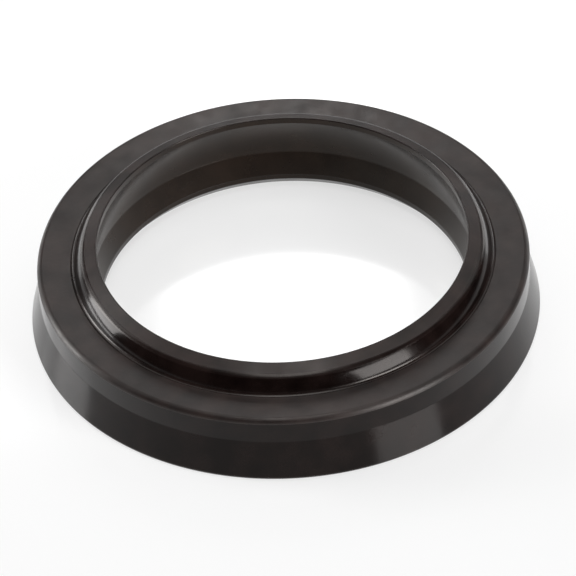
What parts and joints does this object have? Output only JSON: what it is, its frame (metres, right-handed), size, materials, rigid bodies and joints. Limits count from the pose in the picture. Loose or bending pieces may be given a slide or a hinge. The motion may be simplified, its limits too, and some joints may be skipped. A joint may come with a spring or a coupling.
{
  "type": "rod wiper seal",
  "caption": "Moulded rubber rod wiper ring with a flared seat, a flat shoulder and a raised inward-leaning wiping lip.",
  "frame": {"origin": "on the ring's axis, in the plane of its flat base", "axes": "+Z along the ring's axis, from the base towards the wiping lip"},
  "size_m": [0.054, 0.054, 0.0097],
  "materials": {
    "moulded_rubber": "satin"
  },
  "bodies": {
    "root": {"wiper_ring": "moulded_rubber"}
  },
  "joints": []
}
